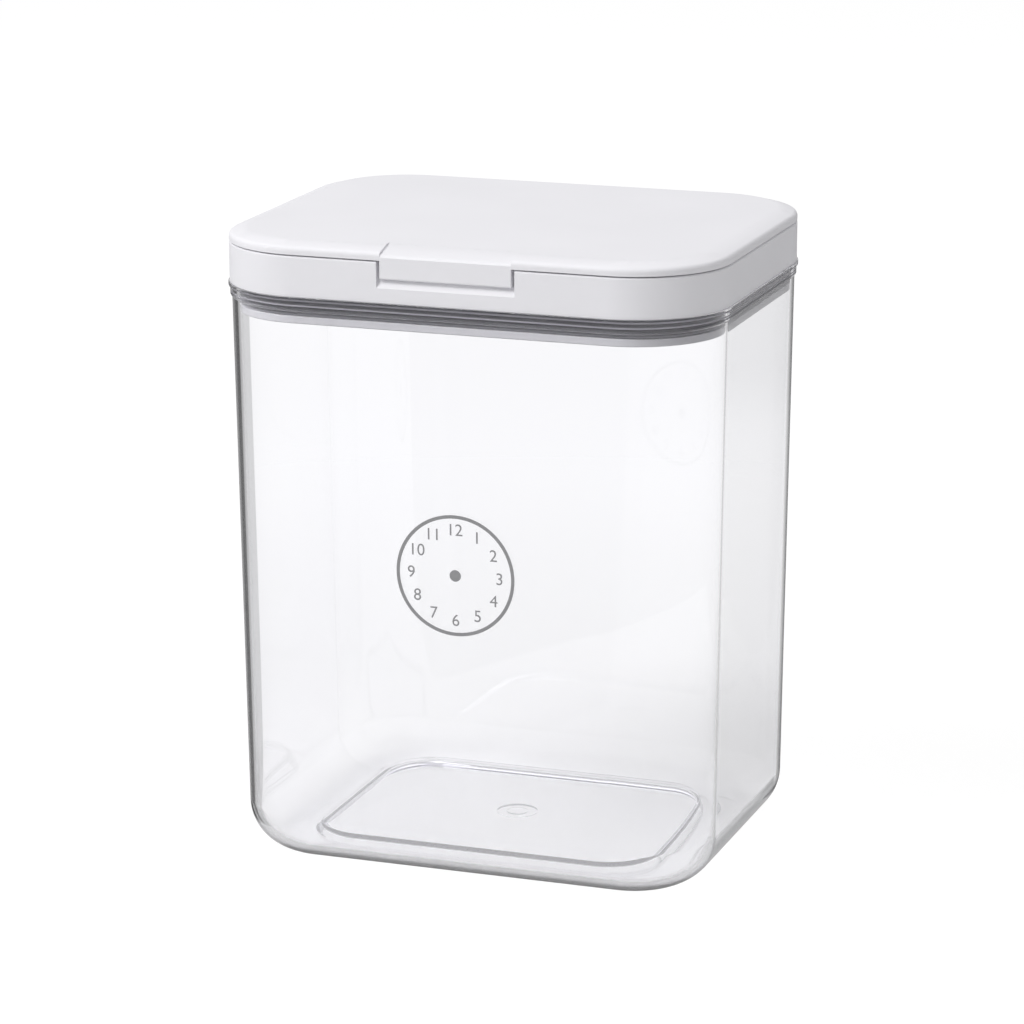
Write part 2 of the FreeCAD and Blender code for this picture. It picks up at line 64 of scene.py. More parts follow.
FLAP_SEAL_TOP, FLAP_SEAL_SHOULDER, FLAP_SEAL_BOTTOM = 235.55, 233.35, 232.45
FLAP_BEAD_ROOT, FLAP_BEAD_TIP = 2.4, 1.2

# Printed dial on the front wall
DIAL_X, DIAL_Z, DIAL_RADIUS, DIAL_LINE = 2.4, 120.6, 23.0, 1.3
DIAL_NUMBERS, DIAL_NUMBER_RADIUS, DIAL_NUMBER_SIZE, DIAL_HUB = 12, 17.2, 6.4, 2.2
INK_GAP, INK_THICKNESS = 0.01, 0.05

# How finely curves are divided, how edges are rounded (angles in degrees), and what counts as one
CORNER_STEPS, FILLET_STEPS, ROUND_STEPS, LARGE_ROUND = 40, 20, 4, 3.0
CIRCLE_STEPS = 96
EDGE_ROUND, EDGE_STEPS, EDGE_ANGLE, FLAT_ANGLE, SMOOTH_ANGLE = 0.25, 2, 25, 0.4, 35
MERGE_GAP, WELD_GAP, LEVEL_GAP = 1e-4, 1e-3, 1e-3

# Moulded materials: scales of the cloudiness and of the grain, the two colours between which the
# cloudiness drifts, the same for roughness, and the depth of the grain
CLOUD_DETAIL, GRAIN_DETAIL = 3.0, 2.0
CLEAR = {"scales": (9, 14), "colours": ((0.985, 0.985, 1.0), (1.0, 1.0, 1.0)),
         "roughness": None, "grain_depth": 0.004}
WHITE = {"scales": (30, 1500), "colours": ((0.79, 0.784, 0.816), (0.81, 0.804, 0.836)),
         "roughness": (0.52, 0.64), "grain_depth": 0.004}
SILICONE = {"scales": (60, 2500), "colours": ((0.66, 0.65, 0.70), (0.73, 0.72, 0.77)),
            "roughness": (0.45, 0.6), "grain_depth": 0.006}
RIB_SILICONE = {**SILICONE, "roughness": (0.35, 0.5)}
STEEL = {"scales": (200, 3000), "colours": ((0.58, 0.58, 0.59), (0.64, 0.64, 0.65)),
         "roughness": (0.25, 0.35), "grain_depth": 0.003}
INK = {"scales": (80, 3000), "colours": ((0.27, 0.27, 0.28), (0.31, 0.31, 0.32)),
       "roughness": (0.5, 0.65), "grain_depth": 0.004}
PLASTIC_IOR, SILICONE_IOR = 1.5, 1.42
# Level of the shade painted into the seal's grooves; its ribs keep their full colour
GROOVE_SHADE = 0.3
# Clear plastic: its tint with depth, the tint of its shadow, and that of a ray which comes out after
# it was trapped for some reflections
CLEAR_TINT, CLEAR_DENSITY = (0.80, 0.79, 0.88, 1), 15.0
SHADOW_TINT, TRAPPED_TINT, TRAPPED_AFTER = 0.9, 0.78, 3

# Camera and lamps, in metres, degrees and watts
CAMERA_PLACE = (0.515363, -1.442542, 0.528123)
CAMERA_AZIMUTH, CAMERA_ELEVATION, CAMERA_ROLL = 19.734, 14.704, -0.204
CAMERA_SENSOR, CAMERA_LENS = 36.0, 145.76
KEY_LIGHT = {"place": (-1.45, -1.49, 2.45), "size": (1.6, 1.6), "power": 59}
TOP_LIGHT = {"place": (0, 0.3, 2.3), "size": (1.4, 1.4), "power": 7}
LIGHT_AIM = (0, 0, 0.15)

# Stage: what lights the pieces, and the floor, which lies a little below the foot
FLOOR_LIT, WORLD_LIT = 0.76, 0.52
FLOOR_RADIUS, FOOT_AIR = 8000, 0.2
# What a ray sees of it: white, painted a little dimmer after each reflection, and a painted dim
# reflection overhead for what the lid mirrors
REFLECTION_DIM, OVERHEAD_LEVEL = 0.97, 0.45
# Seen directly the floor mostly glows. Seen through the plastic it is the lit floor with its shadow up
# to NEAR_END metres from the middle, and glows white from FAR_START on.
FLOOR_GLOW, FLOOR_SEEN = 0.86, 0.2
NEAR_GLOW, NEAR_SEEN, FAR_GLOW, NEAR_END, FAR_START = 0.28, 0.72, 1.06, 0.2, 0.6
# Mirrored in a surface the floor is painted dimmer, and dimmer still far off, by the distance in
# metres.
MIRROR_NEAR, MIRROR_FAR, MIRROR_NEAR_END, MIRROR_FAR_START = 0.6, 0.3, 0.66, 0.86
# Rays led round inside one wall see dark flags painted on the floor. They stand in for the black flags
# that a studio stands on both sides of a clear object, and paint the dark edges of the walls.
# Each flag has the angle in degrees at which a ray leaves the left or right edge, and a level.
ONE_WALL = 2
PAINTED_FLAG_EDGE_OUT, PAINTED_FLAG_EDGE_BACK = 0.1055, 0.0177
PAINTED_FLAG_FIRST, PAINTED_FLAG_LAST = -20, 60
LEFT_PAINTED_FLAGS = ((-20, 0.9), (-4, 0.9), (9, 0.7), (19, 0.25), (24, 0.1), (29, 0.03), (34, 0.03),
              (37.5, 0.45), (44, 0.6))
RIGHT_PAINTED_FLAGS = ((-20, 0.82), (-13, 0.7), (-4, 0.5), (9, 0.2), (19, 0.2), (24, 0.55), (32, 0.75),
               (37, 0.9))
# Other rays through the left edge see painted shade, a grey band on the floor, from these angles on.
BAND_START, BAND_FULL, BAND_LEVEL = 8.8, 10.4, 0.62
# Close to the foot the floor is painted in shade for rays led round inside one wall and for mirror
# rays:
# distances from the middle of the plan's rounded corners
CONTACT_LEVEL, CONTACT_INNER, CONTACT_OUTER = 0.36, 18.0, 22.0


def only_verts(geom):
    """The vertices among what a mesh operation gives back."""
    return [g for g in geom if isinstance(g, bmesh.types.BMVert)]


def edges_of(verts):
    """All edges that meet some vertices, each once."""
    return list(dict.fromkeys(e for v in verts for e in v.link_edges))


def finish_object(name, bm):
    """Object at the origin from a mesh in metres, shaded smooth except at its hard edges."""
    mesh = bpy.data.meshes.new(name)
    bm.to_mesh(mesh)
    bm.free()
    piece = bpy.data.objects.new(name, mesh)
    bpy.context.scene.collection.objects.link(piece)
    mesh.shade_smooth()
    mesh.set_sharp_from_angle(angle=math.radians(SMOOTH_ANGLE))
    weighted = piece.modifiers.new("even_shading", "WEIGHTED_NORMAL")
    weighted.keep_sharp = True
    return piece


def new_object(name, bm):
    """Object at the origin from a mesh in millimetres, with its faces turned outwards."""
    bmesh.ops.recalc_face_normals(bm, faces=bm.faces)
    bmesh.ops.scale(bm, vec=(MM, MM, MM), verts=bm.verts)
    return finish_object(name, bm)


def swept_section(bm, corners, centre=LID_CENTRE, closed=False):
    """Sweeps a section of (inset, z, rounding) corners round a plan corner.

    Both ends are then drawn out to the planes of symmetry.
    """
    before = set(bm.verts)
    verts = [bm.verts.new((centre[0], inset - LID_DEPTH / 2, z)) for inset, z, _ in corners]
    following = verts[1:] + verts[:1] if closed else verts[1:]
    for pair in zip(verts, following):
        bm.edges.new(pair)
    for vert, (_, _, radius) in zip(verts, corners):
        if radius:
            sides = [edge.other_vert(vert).co - vert.co for edge in vert.link_edges]
            turn = math.pi - sides[0].angle(sides[1])
            steps = FILLET_STEPS if radius > LARGE_ROUND else ROUND_STEPS
            bmesh.ops.bevel(bm, geom=[vert], offset=radius * math.tan(turn / 2),
                            offset_type="OFFSET", segments=steps, profile=0.5,
                            affect="VERTICES", clamp_overlap=False, material=-1)
    verts = [v for v in bm.verts if v not in before]
    edges = edges_of(verts)
    spun = bmesh.ops.spin(bm, geom=verts + edges, cent=(centre[0], -centre[1], 0), axis=(0, 0, 1),
                          dvec=(0, 0, 0), angle=math.pi / 2, steps=CORNER_STEPS, use_merge=False,
                          use_normal_flip=False, use_duplicate=False)
    last = [g for g in spun["geom_last"] if isinstance(g, bmesh.types.BMEdge)]
    for chain, shift in ((edges, (-centre[0], 0, 0)), (last, (0, centre[1], 0))):
        pulled = bmesh.ops.extrude_edge_only(bm, edges=chain)["geom"]
        bmesh.ops.translate(bm, vec=shift, verts=only_verts(pulled))


def mirror_quarters(bm):
    """Makes the whole plan from its front right quarter."""
    for axis in ("X", "Y"):
        bmesh.ops.mirror(bm, geom=bm.verts[:] + bm.edges[:] + bm.faces[:], axis=axis,
                         merge_dist=MERGE_GAP)
    bmesh.ops.remove_doubles(bm, verts=bm.verts, dist=MERGE_GAP)


def swept_ring(name, corners):
    """Ring of a closed section, swept round the lid's plan."""
    bm = bmesh.new()
    swept_section(bm, corners, closed=True)
    mirror_quarters(bm)
    return new_object(name, bm)


def close_level(bm, level):
    """Fills the plane between the open edges that lie at one height."""
    edges = [e for e in bm.edges if len(e.link_faces) == 1
             and all(abs(v.co.z - level) < LEVEL_GAP for v in e.verts)]
    bmesh.ops.triangle_fill(bm, use_beauty=True, use_dissolve=False, edges=edges, normal=(0, 0, 1))


def upright_circle(bm, radius, low, high):
    """Open cylinder between two heights about the Z axis."""
    ring = bmesh.ops.create_circle(bm, segments=CIRCLE_STEPS, radius=radius, cap_ends=False,
                                   matrix=Matrix.Translation((0, 0, low)))["verts"]
    raised = bmesh.ops.extrude_edge_only(bm, edges=edges_of(ring))["geom"]
    bmesh.ops.translate(bm, vec=(0, 0, high - low), verts=only_verts(raised))


def wall_inset(z):
    """Inset of the bucket's outer face, which draws in towards the base."""
    return WALL_INSET + (BUCKET_HEIGHT - z) * math.tan(DRAFT)


def clear_bucket():
    """The clear bucket: a section swept round the plan, with the kicked-up panel closing its base."""
    band = BUCKET_HEIGHT - RIM_BAND_HEIGHT
    lip = BUCKET_HEIGHT - RIM_LIP_HEIGHT
    base_inset = wall_inset(BASE_FILLET) + BASE_FILLET / math.cos(DRAFT)
    bm = bmesh.new()
    swept_section(bm, [
        (base_inset + FOOT_OVERLAP, BASE_THICKNESS, 0),
        (wall_inset(BASE_THICKNESS) + BUCKET_WALL, BASE_THICKNESS, BASE_FILLET - BUCKET_WALL),
        (WALL_INSET + BUCKET_WALL, BUCKET_HEIGHT, RIM_ROUND),
        (-RIM_LIP_PROUD, BUCKET_HEIGHT, RIM_ROUND),
        (-RIM_LIP_PROUD, lip, RIM_ROUND),
        (RIM_BAND_INSET, lip, RIM_ROUND / 2),
        (RIM_BAND_INSET, band + RIM_BAND_BEVEL, RIM_ROUND),
        (wall_inset(band), band, RIM_ROUND),
        (wall_inset(0), 0, BASE_FILLET),
        (base_inset + FOOT_OVERLAP, 0, 0),
    ])
    panel_top = BASE_THICKNESS + BASE_KICK_UP
    panel_centre = (LID_WIDTH / 2 - PANEL_SIDE_INSET - PANEL_CORNER,
                    LID_DEPTH / 2 - PANEL_END_INSET - PANEL_CORNER)
    for margin, foot in ((0, BASE_THICKNESS), (HOLLOW_MARGIN, 0)):
        top, top_inset = foot + BASE_KICK_UP, PANEL_END_INSET + margin
        slope_foot = top_inset - PANEL_SLOPE_RUN
        swept_section(bm, [
            (slope_foot - PANEL_EDGE, foot, 0),
            (slope_foot, foot, PANEL_ROUND),
            (top_inset, top, PANEL_ROUND),
            (top_inset + PANEL_EDGE, top, 0),
        ], panel_centre)
    mirror_quarters(bm)
    gate_top = BASE_KICK_UP + GATE_DEPTH
    nub_bottom = gate_top - GATE_NUB_HEIGHT
    upright_circle(bm, GATE_RADIUS, BASE_KICK_UP, gate_top)
    upright_circle(bm, GATE_NUB_RADIUS, nub_bottom, gate_top)
    for level in (0, BASE_THICKNESS, BASE_KICK_UP, panel_top, gate_top, nub_bottom):
        close_level(bm, level)
    return new_object("clear_bucket", bm)


def plug_skirt():
    """Skirt that enters the mouth, with a flange on the rim and a lip under the seal."""
    lip_top = PLUG_BOTTOM + PLUG_LIP_HEIGHT
    flange_top = BUCKET_HEIGHT + FLANGE_HEIGHT
    inner = PLUG_INSET + PLUG_WALL
    return swept_ring("plug_skirt", [(inset, z, PLUG_ROUND) for inset, z in (
        (FLANGE_INSET, BUCKET_HEIGHT),
        (FLANGE_INSET, flange_top),
        (PLUG_INSET, flange_top),
        (PLUG_INSET, PLUG_TOP),
        (inner, PLUG_TOP),
        (inner, PLUG_BOTTOM),
        (PLUG_LIP_INSET + PLUG_LEAD_IN, PLUG_BOTTOM),
        (PLUG_LIP_INSET, PLUG_BOTTOM + PLUG_LEAD_IN),
        (PLUG_LIP_INSET, lip_top),
        (PLUG_INSET, lip_top),
        (PLUG_INSET, BUCKET_HEIGHT),
    )])


def ribbed_seal():
    """Silicone band round the plug, its ribs squeezed against the bucket's wall."""
    inner = PLUG_INSET - SEAL_SEAT_GAP
    top = BUCKET_HEIGHT - SEAL_END_GAP
    bottom = PLUG_BOTTOM + PLUG_LIP_HEIGHT + SEAL_END_GAP
    section = [(inner, bottom), (inner, top), (SEAL_BAND_INSET, top)]
    for rib in range(SEAL_RIBS):
        z = BUCKET_HEIGHT - SEAL_FIRST_RIB - rib * SEAL_RIB_PITCH
        tip = wall_inset(z) + BUCKET_WALL - SEAL_SQUEEZE
        section += [(SEAL_BAND_INSET, z + SEAL_RIB_ROOT / 2), (tip, z + SEAL_RIB_TIP / 2),
                    (tip, z - SEAL_RIB_TIP / 2), (SEAL_BAND_INSET, z - SEAL_RIB_ROOT / 2)]
    section.append((SEAL_BAND_INSET, bottom))
    return swept_ring("ribbed_seal", [(inset, z, SEAL_ROUND) for inset, z in section])


def mouth_seal():
    """Silicone ring under the flap, with a bead that meets the lip of the mouth."""
    half, root, tip = FLAP_SEAL_WIDTH / 2, FLAP_BEAD_ROOT / 2, FLAP_BEAD_TIP / 2
    section = (
        (-half, FLAP_SEAL_SHOULDER),
        (-half, FLAP_SEAL_TOP),
        (half, FLAP_SEAL_TOP),
        (half, FLAP_SEAL_SHOULDER),
        (root, FLAP_SEAL_SHOULDER),
        (tip, FLAP_SEAL_BOTTOM),
        (-tip, FLAP_SEAL_BOTTOM),
        (-root, FLAP_SEAL_SHOULDER),
    )
    return swept_ring("mouth_seal", [(FLAP_SEAL_MIDDLE + offset, z, FLAP_SEAL_ROUND)
                                     for offset, z in section])


def softened(node, name):
    """Copy of a solid piece with its hard edges rounded, as they leave the mould."""
    bm = bmesh.new()
    bm.from_mesh(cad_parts[node].data)
    bmesh.ops.remove_doubles(bm, verts=bm.verts, dist=WELD_GAP * MM)
    bmesh.ops.dissolve_limit(bm, angle_limit=math.radians(FLAT_ANGLE),
                             use_dissolve_boundaries=False, verts=bm.verts, edges=bm.edges,
                             delimit=set())
    hard = [e for e in bm.edges if len(e.link_faces) == 2
            and e.calc_face_angle() > math.radians(EDGE_ANGLE)]
    bmesh.ops.bevel(bm, geom=hard, offset=EDGE_ROUND * MM, offset_type="OFFSET",
                    segments=EDGE_STEPS, profile=0.5, affect="EDGES", clamp_overlap=True,
                    material=-1)
    return finish_object(name, bm)


def flat_number(bm, text, size, place):
    """Adds a number as flat faces, centred on a place in the XY plane."""
    curve = bpy.data.curves.new("number", "FONT")
    curve.body, curve.size = text, size
    curve.align_x, curve.align_y = "CENTER", "CENTER"
    shape = bpy.data.objects.new("number", curve)
    bpy.context.scene.collection.objects.link(shape)
    mesh = bpy.data.meshes.new_from_object(shape)
    bpy.data.objects.remove(shape)
    before = set(bm.verts)
    bm.from_mesh(mesh)
    bmesh.ops.translate(bm, vec=(*place, 0), verts=[v for v in bm.verts if v not in before])


def printed_dial():
    """Ring with plain numbers, printed on the drafted front wall."""
    bm = bmesh.new()
    loops = []
    for radius in (DIAL_RADIUS, DIAL_RADIUS - DIAL_LINE):
        ring = bmesh.ops.create_circle(bm, segments=CIRCLE_STEPS, radius=radius, cap_ends=False)
        loops += edges_of(ring["verts"])
    bmesh.ops.bridge_loops(bm, edges=loops)
    bmesh.ops.create_circle(bm, segments=CIRCLE_STEPS, radius=DIAL_HUB, cap_ends=True)
    for number in range(1, DIAL_NUMBERS + 1):
        turn = math.tau * number / DIAL_NUMBERS
        place = (DIAL_NUMBER_RADIUS * math.sin(turn), DIAL_NUMBER_RADIUS * math.cos(turn))
        flat_number(bm, str(number), DIAL_NUMBER_SIZE, place)
    raised = bmesh.ops.extrude_face_region(bm, geom=bm.faces[:], use_keep_orig=True)["geom"]
    bmesh.ops.translate(bm, vec=(0, 0, INK_THICKNESS), verts=only_verts(raised))
    wall_y = wall_inset(DIAL_Z) - LID_DEPTH / 2 - INK_GAP
    lean = Matrix.Rotation(math.pi / 2 + DRAFT, 4, "X")
    bmesh.ops.transform(bm, matrix=Matrix.Translation((DIAL_X, wall_y, DIAL_Z)) @ lean,
                        verts=bm.verts)
    return new_object("printed_dial", bm)


def add_node(tree, kind, **settings):
    """New node with its settings."""
    node = tree.nodes.new(kind)
    for key, value in settings.items():
        setattr(node, key, value)
    return node


def math_node(tree, operation, first, second):
    """Output of a math node whose two inputs are sockets or plain numbers."""
    node = add_node(tree, "ShaderNodeMath", operation=operation)
    for socket, value in zip(node.inputs, (first, second)):
        if isinstance(value, bpy.types.NodeSocket):
            tree.links.new(value, socket)
        else:
            socket.default_value = value
    return node.outputs[0]


def product(tree, first, second):
    return math_node(tree, "MULTIPLY", first, second)


def fewer(tree, count, limit):
    """1 where a count of bounces is below a whole number, else 0."""
    return math_node(tree, "LESS_THAN", count, limit - 0.5)


def at_least(tree, count, limit):
    """1 where a count of bounces reaches a whole number, else 0."""
    return math_node(tree, "GREATER_THAN", count, limit - 0.5)


def between(tree, mask, without, covered):
    """Value that goes from one value to another as a mask goes from 0 to 1."""
    change = math_node(tree, "SUBTRACT", covered, without)
    return math_node(tree, "ADD", without, product(tree, mask, change))


def faded(tree, value, first, last, kind="LINEAR"):
    """Value from 0 to 1 as another goes from first to last."""
    fade = add_node(tree, "ShaderNodeMapRange", interpolation_type=kind)
    fade.inputs["From Min"].default_value, fade.inputs["From Max"].default_value = first, last
    tree.links.new(value, fade.inputs["Value"])
    return fade.outputs["Result"]


def distance_along(tree, place, direction):
    """How far a place lies along a direction."""
    dot = add_node(tree, "ShaderNodeVectorMath", operation="DOT_PRODUCT")
    dot.inputs[1].default_value = direction
    tree.links.new(place, dot.inputs[0])
    return dot.outputs["Value"]


def grey(tree, value):
    """Colour socket of a grey value."""
    combine = add_node(tree, "ShaderNodeCombineColor")
    for socket in combine.inputs:
        tree.links.new(value, socket)
    return combine.outputs[0]


def mixed_output(tree, factor, without, covered, output):
    """Joins two shaders to the output, by a factor that goes from the first to the second."""
    mix = add_node(tree, "ShaderNodeMixShader")
    tree.links.new(factor, mix.inputs[0])
    tree.links.new(without.outputs[0], mix.inputs[1])
    tree.links.new(covered.outputs[0], mix.inputs[2])
    tree.links.new(mix.outputs[0], output.inputs["Surface"])


def moulded_finish():
    """Group that gives the slow cloudiness and the fine grain of a moulded surface."""
    tree = bpy.data.node_groups.new("moulded_finish", "ShaderNodeTree")
    for name in ("Cloud Scale", "Grain Scale"):
        tree.interface.new_socket(name=name, in_out="INPUT", socket_type="NodeSocketFloat")
    for name in ("Cloud", "Grain"):
        tree.interface.new_socket(name=name, in_out="OUTPUT", socket_type="NodeSocketFloat")
    inputs = add_node(tree, "NodeGroupInput")
    outputs = add_node(tree, "NodeGroupOutput")
    place = add_node(tree, "ShaderNodeTexCoord")
    for name, detail in (("Cloud", CLOUD_DETAIL), ("Grain", GRAIN_DETAIL)):
        noise = add_node(tree, "ShaderNodeTexNoise")
        noise.inputs["Detail"].default_value = detail
        tree.links.new(place.outputs["Object"], noise.inputs["Vector"])
        tree.links.new(inputs.outputs[name + " Scale"], noise.inputs["Scale"])
        tree.links.new(noise.outputs["Fac"], outputs.inputs[name])
    return tree


def moulded_material(name, finish, scales, colours, roughness, grain_depth, **values):
    """Principled material: colour and roughness drift with the cloudiness, the grain is a bump."""
    material = bpy.data.materials.new(name)
    material.use_nodes = True
    tree = material.node_tree
    shader = tree.nodes["Principled BSDF"]
    for key, value in values.items():
        shader.inputs[key.replace("_", " ")].default_value = value
    group = add_node(tree, "ShaderNodeGroup", node_tree=finish)
    for socket, scale in zip(("Cloud Scale", "Grain Scale"), scales):
        group.inputs[socket].default_value = scale
    tint = add_node(tree, "ShaderNodeMix", data_type="RGBA")
    tint.inputs["A"].default_value, tint.inputs["B"].default_value = ((*c, 1) for c in colours)
    tree.links.new(group.outputs["Cloud"], tint.inputs["Factor"])
    tree.links.new(tint.outputs["Result"], shader.inputs["Base Color"])
    if roughness:
        gloss = add_node(tree, "ShaderNodeMapRange")
        gloss.inputs["To Min"].default_value, gloss.inputs["To Max"].default_value = roughness
        tree.links.new(group.outputs["Cloud"], gloss.inputs["Value"])
        tree.links.new(gloss.outputs["Result"], shader.inputs["Roughness"])
    bump = add_node(tree, "ShaderNodeBump")
    bump.inputs["Distance"].default_value = grain_depth * MM
    tree.links.new(group.outputs["Grain"], bump.inputs["Height"])
    tree.links.new(bump.outputs["Normal"], shader.inputs["Normal"])
    return material


def clear_plastic(finish):
    """Polished clear plastic: a faint ripple, and a cool tint that deepens with thickness."""
    material = moulded_material("clear_plastic", finish, **CLEAR, Roughness=0.0, IOR=PLASTIC_IOR,
                                Transmission_Weight=1.0)
    tree = material.node_tree
    output = tree.nodes["Material Output"]
    tint = add_node(tree, "ShaderNodeVolumeAbsorption")
    tint.inputs["Color"].default_value = CLEAR_TINT
    tint.inputs["Density"].default_value = CLEAR_DENSITY
    tree.links.new(tint.outputs["Volume"], output.inputs["Volume"])
    # Lamps shine through the wall on to the seal inside it, and a trapped ray finds its way out.
    path = add_node(tree, "ShaderNodeLightPath")
    trapped = at_least(tree, path.outputs["Glossy Depth"], TRAPPED_AFTER)
    passing = add_node(tree, "ShaderNodeBsdfTransparent")
    tree.links.new(grey(tree, between(tree, trapped, SHADOW_TINT, TRAPPED_TINT)),
                   passing.inputs["Color"])
    mixed_output(tree, math_node(tree, "MAXIMUM", path.outputs["Is Shadow Ray"], trapped),
                 tree.nodes["Principled BSDF"], passing, output)
    return material


def ribbed_silicone(finish):
    """Grey silicone with shade painted into its grooves, between the ribs."""
    material = moulded_material("grey_silicone_ribs", finish, **RIB_SILICONE, IOR=SILICONE_IOR)
    tree = material.node_tree
    # Painted shade: the colour darkens in a wave by height, darkest halfway between the ribs
    place = add_node(tree, "ShaderNodeTexCoord").outputs["Object"]
    first = (BUCKET_HEIGHT - SEAL_FIRST_RIB) * MM
    below = math_node(tree, "SUBTRACT", distance_along(tree, place, (0, 0, 1)), first)
    turns = math_node(tree, "DIVIDE", below, SEAL_RIB_PITCH * MM)
    wave = math_node(tree, "COSINE", product(tree, turns, math.tau), 0)
    level = between(tree, faded(tree, wave, -1.0, 1.0), GROOVE_SHADE, 1.0)
    shade = add_node(tree, "ShaderNodeMix", data_type="RGBA", blend_type="MULTIPLY")
    shade.inputs["Factor"].default_value = 1.0
    base = tree.nodes["Principled BSDF"].inputs["Base Color"]
    tree.links.new(base.links[0].from_socket, shade.inputs["A"])
    tree.links.new(grey(tree, level), shade.inputs["B"])
    tree.links.new(shade.outputs["Result"], base)
    return material


def stage_rays(tree):
    """Light path, and masks of rays that see the stage and of rays led round inside one wall."""
    path = add_node(tree, "ShaderNodeLightPath")
    mirrored = math_node(tree, "MAXIMUM", path.outputs["Is Glossy Ray"],
                         path.outputs["Is Transmission Ray"])
    looking = math_node(tree, "MAXIMUM", path.outputs["Is Camera Ray"], mirrored)
    seen = product(tree, looking, fewer(tree, path.outputs["Diffuse Depth"], 1))
    one_wall = fewer(tree, path.outputs["Transmission Depth"], ONE_WALL + 1)
    guided = product(tree, one_wall, at_least(tree, path.outputs["Glossy Depth"], 1))
    return path, seen, guided


def ray_level(tree, path):
    """White, painted a little dimmer after each reflection."""
    return math_node(tree, "POWER", REFLECTION_DIM, path.outputs["Glossy Depth"])


def flag_level(tree, place, through, guided):
    """Level painted on the floor for a ray through the plastic, by the angle at which it left an edge:
    dark flags, and a grey band by the left edge.
    """
    azimuth = math.radians(CAMERA_AZIMUTH)
    across = distance_along(tree, place, (math.cos(azimuth), math.sin(azimuth), 0))
    behind = distance_along(tree, place, (-math.sin(azimuth), math.cos(azimuth), 0))
    side = math_node(tree, "SIGN", across, 0)
    outwards = math_node(tree, "SUBTRACT", math_node(tree, "ABSOLUTE", across, 0), PAINTED_FLAG_EDGE_OUT)
    behind = math_node(tree, "SUBTRACT", behind, product(tree, side, PAINTED_FLAG_EDGE_BACK))
    angle = math_node(tree, "ARCTAN2", outwards, behind)
    # The ramp of painted flags runs from the last left flag, through both first flags in the middle,
    # to the last right.
    share = faded(tree, angle, math.radians(PAINTED_FLAG_FIRST), math.radians(PAINTED_FLAG_LAST))
    half = product(tree, product(tree, share, side), 0.5)
    ramp = add_node(tree, "ShaderNodeValToRGB")
    painted_flags = [(-1, *flag) for flag in reversed(LEFT_PAINTED_FLAGS)] + [(1, *flag) for flag in RIGHT_PAINTED_FLAGS]
    stops = ramp.color_ramp.elements
    while len(stops) < len(painted_flags):
        stops.new(0.5)
    for stop, (hand, turn, level) in zip(stops, painted_flags):
        stop.position = 0.5 + hand * (turn - PAINTED_FLAG_FIRST) / (PAINTED_FLAG_LAST - PAINTED_FLAG_FIRST) / 2
        stop.color = (level, level, level, 1)
    tree.links.new(math_node(tree, "ADD", 0.5, half), ramp.inputs["Fac"])
    left = product(tree, through, math_node(tree, "LESS_THAN", side, 0))
    # Painted shade: a grey band on the floor for rays through the left edge
    edge = faded(tree, angle, math.radians(BAND_START), math.radians(BAND_FULL))
    band = between(tree, product(tree, left, edge), 1.0, BAND_LEVEL)
    return between(tree, guided, band, ramp.outputs["Color"])


def far_mask(tree, place, near_end, far_start):
    """0 near the origin of a place, 1 far from it."""
    distance = add_node(tree, "ShaderNodeVectorMath", operation="LENGTH")
    tree.links.new(place, distance.inputs[0])
    return faded(tree, distance.outputs["Value"], near_end, far_start, "SMOOTHSTEP")


def contact_level(tree, place):
    """Painted shade on the floor close to the foot, by the way out from the plan's rounded corners."""
    centre = (LID_CENTRE[0] * MM, LID_CENTRE[1] * MM, 1)
    for operation, second in (("ABSOLUTE", (0, 0, 0)), ("SUBTRACT", centre), ("MAXIMUM", (0, 0, 0))):
        step = add_node(tree, "ShaderNodeVectorMath", operation=operation)
        step.inputs[1].default_value = second
        tree.links.new(place, step.inputs[0])
        place = step.outputs["Vector"]
    clear_of_foot = far_mask(tree, place, CONTACT_INNER * MM, CONTACT_OUTER * MM)
    return between(tree, clear_of_foot, CONTACT_LEVEL, 1.0)


def dress(piece, material):
    piece.data.materials.clear()
    piece.data.materials.append(material)


